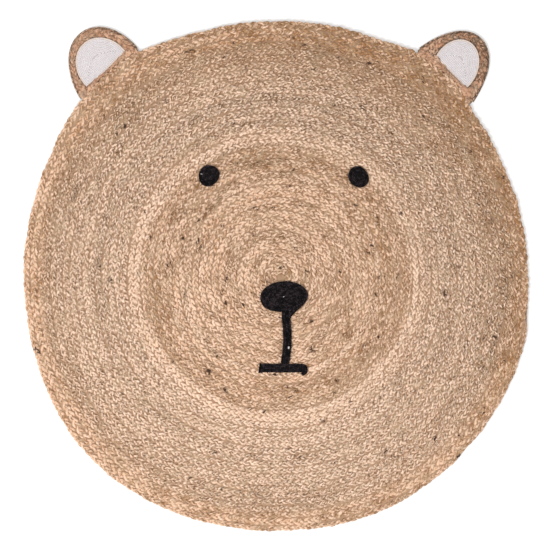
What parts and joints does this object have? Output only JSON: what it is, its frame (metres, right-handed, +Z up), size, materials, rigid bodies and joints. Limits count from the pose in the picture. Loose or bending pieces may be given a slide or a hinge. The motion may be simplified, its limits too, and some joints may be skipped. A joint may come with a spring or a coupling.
{
  "type": "round jute rug",
  "caption": "Round flat rug of coiled jute braid with an animal's face: two braided ears with white cotton patches, black eyes, nose and mouth.",
  "frame": {"origin": "middle of the round on the floor, under the rug", "axes": "+X to the face's right as seen from above, +Y towards the ears, +Z up out of the floor"},
  "size_m": [0.9874, 0.998, 0.0105],
  "materials": {
    "jute_braid": "matt natural jute, three-strand braid",
    "ear_braid": "matt darker jute strands laid lengthwise",
    "white_cotton": "matt off-white cotton in fine sewn rows",
    "black_cotton": "matt black cotton in fine sewn rows"
  },
  "bodies": {
    "root": {"round": "jute_braid", "ear_rim_left": "ear_braid", "ear_patch_left": "white_cotton", "ear_rim_right": "ear_braid", "ear_patch_right": "white_cotton", "eye_left": "black_cotton", "eye_right": "black_cotton", "nose": "black_cotton", "mouth": "black_cotton"}
  },
  "joints": []
}
